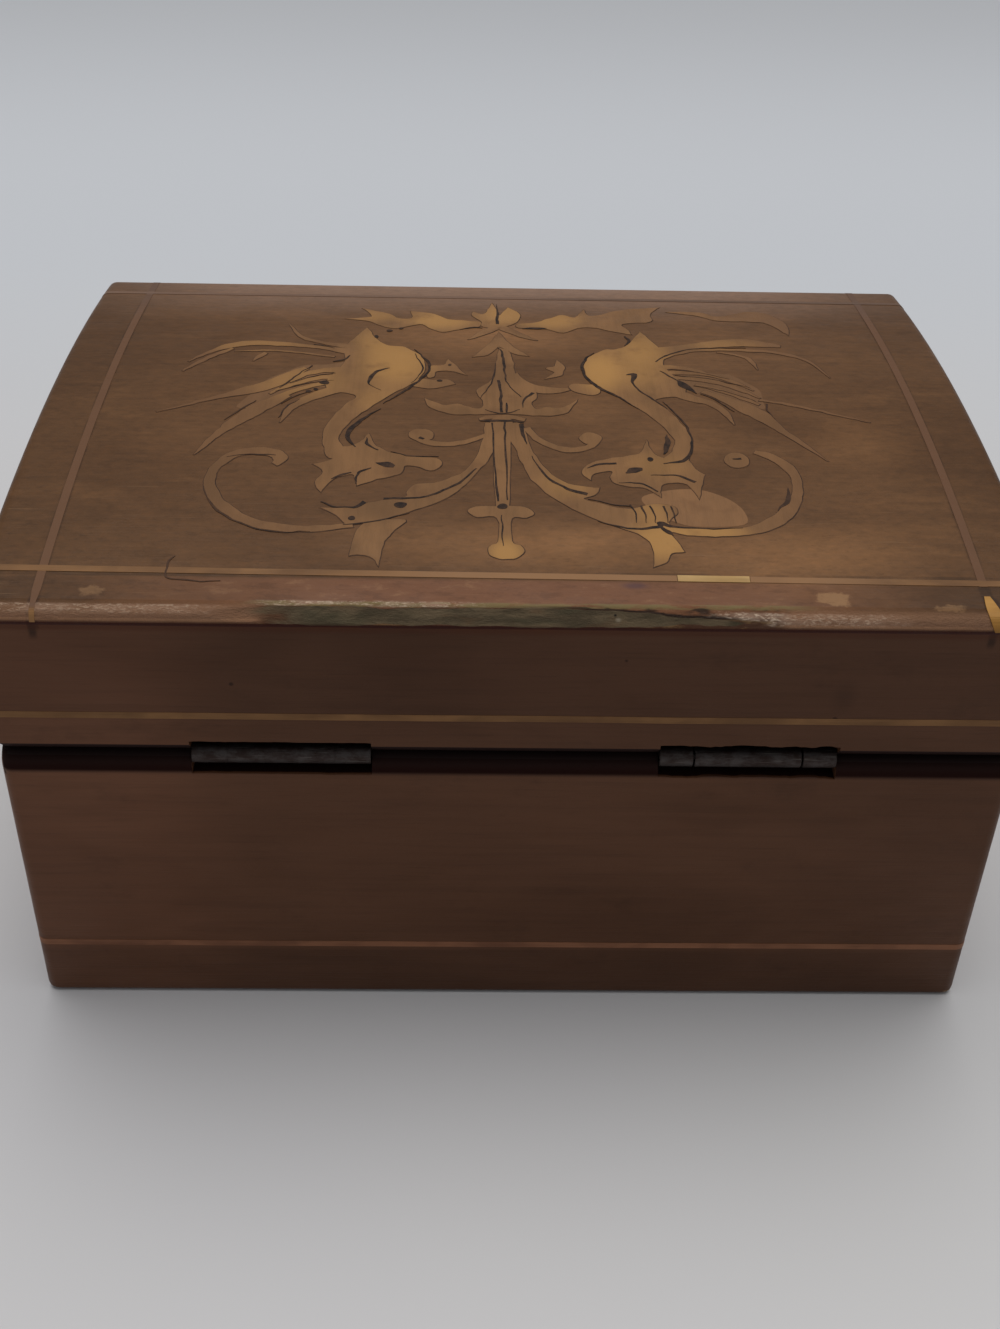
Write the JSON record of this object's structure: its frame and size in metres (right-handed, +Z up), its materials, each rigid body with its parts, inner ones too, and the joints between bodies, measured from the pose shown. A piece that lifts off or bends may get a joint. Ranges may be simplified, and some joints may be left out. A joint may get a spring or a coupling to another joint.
{
  "type": "wooden puzzle box",
  "caption": "Rectangular inlaid wooden box with a shallow domed hinged lid, a hidden lock behind a sliding facing and a secret key drawer.",
  "frame": {"origin": "middle of the footprint, on the surface that the box stands on", "axes": "+Z up, +X along the length, -Y towards the hinge side, +Y towards the lock side"},
  "size_m": [0.148, 0.108, 0.0787],
  "materials": {
    "dark_wood": "dark walnut, thin worn varnish",
    "brown_veneer": "mid-brown walnut veneer, satin varnish",
    "light_inlay": "golden maple inlay with burnt lines, satin varnish",
    "string_wood": "light fruitwood stringing, satin varnish",
    "plain_wood": "bare poplar, unvarnished",
    "aged_steel": "tarnished mild steel"
  },
  "bodies": {
    "body": {"base_board": "plain_wood", "compartment_floor": "plain_wood", "rear_wall": "dark_wood", "left_wall": "dark_wood", "right_wall": "dark_wood", "front_wall": "plain_wood", "front_facing_fixed": "dark_wood", "front_guide_string": "string_wood", "body_string_rear": "string_wood", "body_string_left": "string_wood", "body_string_right": "string_wood", "drawer_runner_front": "plain_wood", "drawer_runner_rear": "plain_wood", "lock_case": "aged_steel", "left_hinge_body_leaf": "aged_steel", "left_hinge_pin": "aged_steel", "left_hinge_body_screw_a": "aged_steel", "left_hinge_body_screw_b": "aged_steel", "right_hinge_body_leaf": "aged_steel", "right_hinge_pin": "aged_steel", "right_hinge_body_screw_a": "aged_steel", "right_hinge_body_screw_b": "aged_steel"},
    "lid": {"lid_top_board": "brown_veneer", "lid_rear_rail": "dark_wood", "lid_front_rail": "dark_wood", "lid_left_rail": "dark_wood", "lid_right_rail": "dark_wood", "strike_plate": "aged_steel", "strike_screw_left": "aged_steel", "strike_screw_right": "aged_steel", "left_hinge_lid_leaf": "aged_steel", "left_hinge_lid_screw_a": "aged_steel", "left_hinge_lid_screw_b": "aged_steel", "right_hinge_lid_leaf": "aged_steel", "right_hinge_lid_screw_a": "aged_steel", "right_hinge_lid_screw_b": "aged_steel", "lid_string_rear": "string_wood", "lid_string_front": "string_wood", "lid_string_left": "string_wood", "lid_string_right": "string_wood", "top_string_left": "string_wood", "top_string_right": "string_wood", "top_string_rear": "string_wood", "top_string_front": "string_wood", "field_veneer": "brown_veneer", "inlay_torch": "light_inlay", "inlay_creature_left": "light_inlay", "inlay_creature_right": "light_inlay", "inlay_garland_left": "light_inlay", "inlay_garland_right": "light_inlay", "inlay_tail_scroll_left": "light_inlay", "inlay_tail_scroll_right": "light_inlay"},
    "sliding_facing": {"front_facing_sliding": "dark_wood"},
    "base_strip": {"front_base_strip": "dark_wood"},
    "key_drawer": {"drawer_front": "dark_wood", "drawer_tray": "plain_wood", "key": "aged_steel"},
    "bolt": {"lock_bolt": "aged_steel"}
  },
  "joints": [
    {"name": "lid_hinge", "type": "hinge", "parent": "body", "child": "lid", "pos_m": [0, -0.0524, 0.0492], "axis": [1, 0, 0], "range_deg": [0, 105]},
    {"name": "facing_slide", "type": "slide", "parent": "body", "child": "sliding_facing", "axis": [1, 0, 0], "range_m": [0, 0.025]},
    {"name": "base_strip_slide", "type": "slide", "parent": "body", "child": "base_strip", "axis": [-1, 0, 0], "range_m": [0, 0.02]},
    {"name": "drawer_slide", "type": "slide", "parent": "body", "child": "key_drawer", "axis": [1, 0, 0], "range_m": [0, 0.036]},
    {"name": "bolt_slide", "type": "slide", "parent": "body", "child": "bolt", "axis": [-1, 0, 0], "range_m": [0, 0.0035]}
  ]
}
